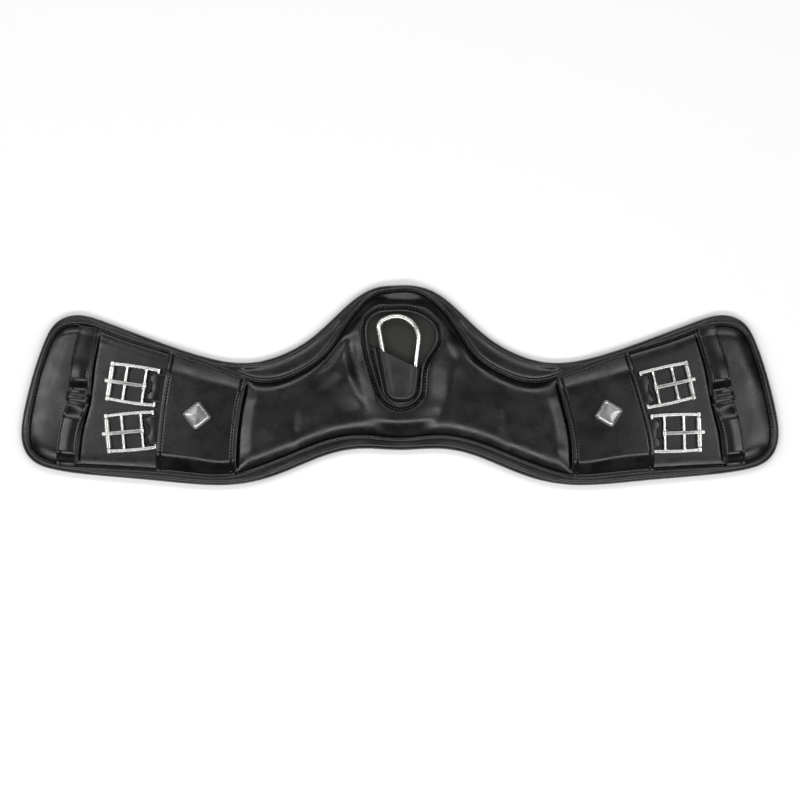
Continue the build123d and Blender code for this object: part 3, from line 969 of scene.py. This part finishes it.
def make_elastic(name):
    """The doubled strap that comes out from under the panel and folds round the end bar."""
    joint = JOINTS[f"lift_{name}"]
    pivot = np.array(joint["pos_m"])
    forward = np.array([-joint["axis"][1], joint["axis"][0], 0])
    across = np.array([-forward[1], forward[0], 0])
    radius = 2.85 * MM
    lead = 4.6 * MM
    # The section from the panel outwards: the upper layer, the fold round the bar, then the lower layer.
    flat_top = [(-24 * MM, -0.6 * MM), (-16 * MM, -0.4 * MM), (-9 * MM, 1.2 * MM), (-4 * MM, 2.4 * MM)]
    flat_under = [(-4 * MM, -2.3 * MM), (-8 * MM, -1.9 * MM), (-24 * MM, -1.9 * MM)]
    fold = [(radius * math.sin(a), radius * math.cos(a)) for a in np.radians(np.arange(0, 181, 15))]
    half_stations = [0, 0.1, 0.2, 0.26, 0.32, 0.4, 0.55, 0.75, 0.88, 0.95, 0.985, 1]
    stations = np.array([-s for s in half_stations[:0:-1]] + half_stations)
    grid = []
    for s in stations:
        squeeze = math.sqrt(max(1 - abs(s) ** 24, 0.2))
        notch = lead * (1 - 0.55 * math.exp(-((s * 3.2) ** 4)))
        profile = flat_top + [(u + notch * min(1, max(u, 0) / radius * 3), w) for u, w in fold] + flat_under
        grid.append([pivot + forward * u * (squeeze if u > 0 else 1) + across * s * ELASTIC_WIDTH / 2
                     + np.array([0, 0, w * squeeze]) for u, w in profile])
    grid = np.array(grid)
    faces = rows_to_faces(len(stations), grid.shape[1], closed_columns=True)
    last = grid.shape[0] * grid.shape[1] - 1
    ends = [list(range(grid.shape[1])), list(range(last, last - grid.shape[1], -1))]
    piece = add_piece(f"elastic_end_{name}", grid.reshape(-1, 3), faces + ends, strap_leather, "elastic")
    wing = name.split("_")[1] + "_wing"
    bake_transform(piece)
    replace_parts(piece, f"elastic_{name}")


for name in BUCKLES:
    make_elastic(name)


# -------- billet keepers

KEEPER_THICKNESS = 1.8 * MM
TAB_WIDTH, TAB_THICKNESS, TAB_HALF_LENGTH = 9 * MM, 1.5 * MM, 10.3 * MM


def strap(path, across, width, thickness, flare=0.0):
    """A leather strap along a path, with softly rounded edges; one edge may flare along its length."""
    forward = unit(np.gradient(path, axis=0))
    up = np.cross(forward, across)
    up *= np.sign(up[:, 2:3] + 1e-12)
    section = [(-1, 0), (-0.985, 0.6), (-0.93, 0.95), (-0.85, 1), (-0.75, 0.55), (-0.65, 1), (0, 1.02),
               (0.65, 1), (0.75, 0.55), (0.85, 1), (0.93, 0.95), (0.985, 0.6), (1, 0)]
    section += [(a, -abs(b)) for a, b in section[-2:0:-1]]
    wider = np.reshape(flare, (-1, 1)) * across
    rings = [path + across * a * width / 2 + wider * (1 - a) / 2 + up * b * thickness / 2 for a, b in section]
    return swept(rings)


def edge_room(points):
    """How far points lie inside the seam, or 0 outside it."""
    return np.where(inside(points, seam), distance(points, seam), 0)


def keeper_path(side, top, bottom, rise, fall):
    """From foot to foot between two heights on the plan: up off the face, level, and down again."""
    y = np.linspace(top, bottom, 70)
    plan = np.column_stack([SIDES[side] * curve_x(KEEPER_LINES[side], y), y])
    s = lengths(plan)
    foot = FACE_TOP + 1.1 * MM
    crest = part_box("keeper_upper_right")[1].z - KEEPER_THICKNESS / 2
    lift = smoothstep(s, 2 * MM, rise) * (1 - smoothstep(s, s[-1] - fall[0], s[-1] - fall[1]))
    low = np.minimum(foot, FACE_EDGE + 1.3 * MM + np.minimum(edge_room(plan), 20 * MM) * 0.15)
    along = unit(np.gradient(plan, axis=0))
    across = np.column_stack([-along[:, 1], along[:, 0], 0 * s]) * SIDES[side]
    return np.column_stack([plan, low + (crest - low) * lift]), across


def make_keepers(side):
    """Two straps end to end, each stitched down at both ends, with a small tab over the joint."""
    threads = []
    # Each strap's top and bottom, how far along it reaches its height, and where it leaves it again.
    stretches = {"upper": (54 * MM, KEEPER_BREAK_Y, 44 * MM, (22 * MM, 10 * MM)),
                 "lower": (KEEPER_BREAK_Y, -75 * MM, 18 * MM, (15 * MM, 3 * MM))}
    for name, stretch in stretches.items():
        path, across = keeper_path(side, *stretch)
        path = path[inside(path[:, :2], seam)]
        across = across[: len(path)]
        along = np.linalg.norm(path - path[0], axis=1)
        flare = -3.2 * MM * np.exp(-along / (7 * MM)) if name == "lower" else 0 * along
        shape = strap(path, across, KEEPER_WIDTH, KEEPER_THICKNESS, flare)
        piece = add_piece(f"keeper_strap_{name}_{side}", *shape, strap_leather, "black_leather")
        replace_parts(piece, f"keeper_{name}_{side}")
        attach(piece, f"{side}_wing")
        for edge in (-1, 1):
            line = path + across * edge * KEEPER_WIDTH * 0.375
            threads.append(stitch_mesh(line[2:-2], KEEPER_THICKNESS * 0.3, length=2.2 * MM))
    path, across = keeper_path(side, KEEPER_BREAK_Y + 8 * MM, KEEPER_BREAK_Y, 1 * MM, (1 * MM, 0))
    along = path[-1] - path[0]
    along[2] = 0
    along /= np.linalg.norm(along)
    centre = path[-1] - along * 3.6 * MM
    reach = np.linspace(-1, 1, 25)
    bow = FACE_TOP + (0.3 + 2.8 * (1 - np.abs(reach) ** 5)) * MM
    path = np.array([[*(centre + across[-1] * r * TAB_HALF_LENGTH)[:2], z] for r, z in zip(reach, bow)])
    shape = strap(path, np.tile(along, (len(path), 1)), TAB_WIDTH, TAB_THICKNESS)
    tab = add_piece(f"tab_{side}", *shape, strap_leather, "black_leather")
    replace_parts(tab, f"keeper_tab_{side}")
    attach(tab, f"{side}_wing")
    for edge in (-1, 1):
        line = path + along * edge * 3.3 * MM
        threads.append(stitch_mesh(line, 0.5 * MM, pitch=2.6 * MM, length=1.9 * MM, radius=0.35 * MM))
    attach(add_piece(f"keeper_stitches_{side}", *joined(*threads), thread, "thread"), f"{side}_wing")


for side in SIDES:
    make_keepers(side)


# -------- CAD pieces that show as they are

def dress(node_name, material):
    """Gives a CAD piece its material, and leaves its mesh as it is."""
    piece = frame["nodes"][node_name]
    piece.data.materials.clear()
    piece.data.materials.append(material)


for name in BUCKLES:
    for part in ("frame", "roller", "tongue"):
        dress(f"buckle_{part}_{name}", buckle_steel)
for node_name in ("hook_body", "hook_gate", "gate_pin", "gate_spring"):
    dress(node_name, hook_steel)


# -------- floor, light and camera

def add_area(name, position, size, power):
    """A soft box that points at the middle of the floor and doesn't show itself."""
    data = bpy.data.lights.new(name, "AREA")
    data.shape = "RECTANGLE"
    data.size, data.size_y = size
    data.energy = power
    light = new_object(name, data)
    light.location = position
    light.rotation_euler = (-Vector(position)).to_track_quat("-Z", "Y").to_euler()
    light.visible_camera = False


def make_stage():
    """A wide sheet of white paper under the piece."""
    reach = 6.0
    corners = [(-reach, -reach, 0), (reach, -reach, 0), (reach, reach, 0), (-reach, reach, 0)]
    mesh = new_mesh("floor", corners, [(0, 1, 2, 3)])
    floor = new_object("floor", mesh)
    values = {"Base Color": (0.98, 0.98, 0.98, 1), "Roughness": 0.9, "Specular IOR Level": 0.1}
    mesh.materials.append(new_material("floor_paper", **values)[0])
    floor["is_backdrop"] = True


def make_light():
    """Strip boxes on all four sides, a pale horizon, a dark sky and a faint glow straight above."""
    world = bpy.data.worlds.new("studio")
    bpy.context.scene.world = world
    world.use_nodes = True
    tree = world.node_tree
    around = node(tree, "ShaderNodeTexCoord").outputs["Generated"]
    up = node(tree, "ShaderNodeSeparateXYZ", {"Vector": around})
    horizon = ramp(tree, up.outputs["Z"], 0.5, 0.01, 0.02, 0.3)
    ceiling = ramp(tree, up.outputs["Z"], 0, 0.2, 0.88, 0.96)
    both = node(tree, "ShaderNodeMath", {0: horizon, 1: ceiling}, operation="ADD")
    connect(tree, tree.nodes["Background"], {"Strength": both.outputs[0], "Color": (1, 1, 1, 1)})
    add_area("low_edge_strip", (0, -1.05, 1.55), (2.4, 0.42), 19)
    add_area("high_edge_strip", (0, 1.1, 1.55), (2.4, 0.42), 14)
    add_area("left_strip", (-1.2, 0.1, 1.45), (0.42, 1.6), 10)
    add_area("right_strip", (1.2, -0.1, 1.45), (0.42, 1.6), 9)


def make_camera():
    """A long lens straight above, which looks down."""
    data = bpy.data.cameras.new("camera")
    data.lens = 100
    data.sensor_width = 36
    camera = new_object("camera", data)
    picture_width, picture_centre_y, subject_z = 0.736, -0.01366, 0.010
    distance_up = picture_width * data.lens / data.sensor_width
    camera.location = (0, picture_centre_y, subject_z + distance_up)
    bpy.context.scene.camera = camera


make_stage()
make_light()
make_camera()
bpy.context.scene.view_settings.view_transform = "Standard"

low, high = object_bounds()
{"cad": [list(cad_box[0]), list(cad_box[1])], "visual": [list(low), list(high)]}
